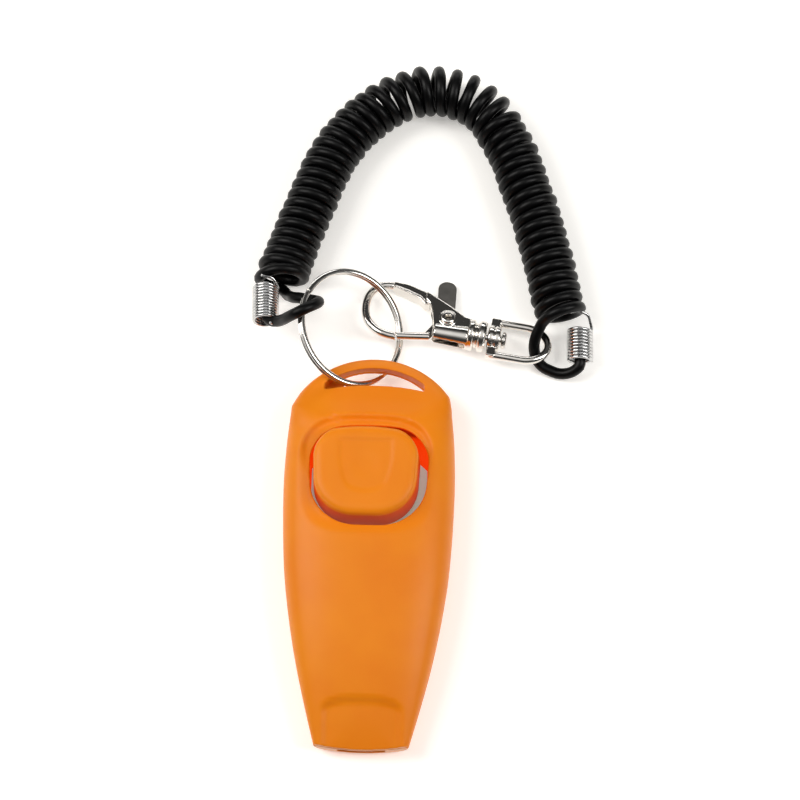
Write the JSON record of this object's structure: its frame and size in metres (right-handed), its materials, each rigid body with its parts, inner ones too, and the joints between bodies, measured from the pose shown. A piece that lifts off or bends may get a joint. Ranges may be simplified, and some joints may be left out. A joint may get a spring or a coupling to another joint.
{
  "type": "clicker trainer",
  "caption": "Handheld pet training whistle and clicker in one tapered plastic housing, with a thumb button, a split ring through its arch and a curly wrist cord on a swivel lobster clasp",
  "frame": {"origin": "on the flat back of the housing, on its centre line, where the housing is widest", "axes": "+Y along the housing from the mouthpiece to the lanyard arch, +Z out of the button face, +X to the right seen from the button side"},
  "size_m": [0.075, 0.1562, 0.0195],
  "materials": {
    "housing": "satin moulded, slightly translucent orange",
    "button_plastic": "satin moulded orange, slightly yellower than the housing",
    "inner_plastic": "as moulded orange",
    "leaf_steel": "rolled spring steel",
    "screws": "plated steel",
    "ring_steel": "nickel plated, bright",
    "clasp_casting": "nickel plated casting, bright",
    "gate_chrome": "nickel plated, thumb tab darker",
    "small_steel": "plated steel",
    "ferrule_wire": "bright plated wire",
    "cord": "satin black, smooth"
  },
  "bodies": {
    "housing": {"front_shell": "housing", "rear_shell": "housing", "leaf_clamp": "inner_plastic", "leaf_screw_left": "screws", "leaf_screw_right": "screws", "whistle_block": "inner_plastic"},
    "button": {"button": "button_plastic"},
    "leaf": {"clicker_leaf": "leaf_steel"},
    "ring": {"split_ring": "ring_steel", "ferrule_ring": "ferrule_wire", "cord_loop_ring": "cord", "cord_coil": "cord"},
    "clasp": {"clasp_body": "clasp_casting", "gate_pin": "small_steel", "gate_spring": "small_steel", "swivel_rivet": "small_steel", "cord_loop_clasp": "cord", "ferrule_clasp": "ferrule_wire"},
    "gate": {"clasp_gate": "gate_chrome"},
    "eye": {"swivel_eye": "clasp_casting"}
  },
  "joints": [
    {"name": "button_press", "type": "slide", "parent": "housing", "child": "button", "axis": [0, 0, -1], "range_m": [0, 0.002], "stiffness_N_per_m": 900, "springref_m": -0.0004},
    {"name": "leaf_flex", "type": "hinge", "parent": "housing", "child": "leaf", "pos_m": [0, -0.02, 0.0068], "axis": [1, 0, 0], "range_deg": [-5.4, 0]},
    {"name": "ring_swing", "type": "hinge", "parent": "housing", "child": "ring", "pos_m": [-0.006, 0.0285, 0.0065], "axis": [0.9397, 0.342, 0], "range_deg": [0, 24]},
    {"name": "clasp_swing", "type": "hinge", "parent": "ring", "child": "clasp", "pos_m": [0.0025, 0.0459, 0.0028], "axis": [0, -1, 0], "range_deg": [0, 25], "deforming": ["cord_coil"]},
    {"name": "gate_press", "type": "hinge", "parent": "clasp", "child": "gate", "pos_m": [0.016, 0.04021, 0.00325], "axis": [0.0352, 0.2222, 0.9744], "range_deg": [-22, 0], "stiffness_Nm_per_rad": 0.01, "springref_deg": 5.73},
    {"name": "eye_swivel", "type": "hinge", "parent": "clasp", "child": "eye", "pos_m": [0.0232, 0.0371, 0.0037], "axis": [0.9877, -0.1564, 0], "range_deg": [-25, 7]}
  ],
  "couplings": [
    {"joint": "leaf_flex", "follows": "button_press", "rad_per_m": -46}
  ]
}
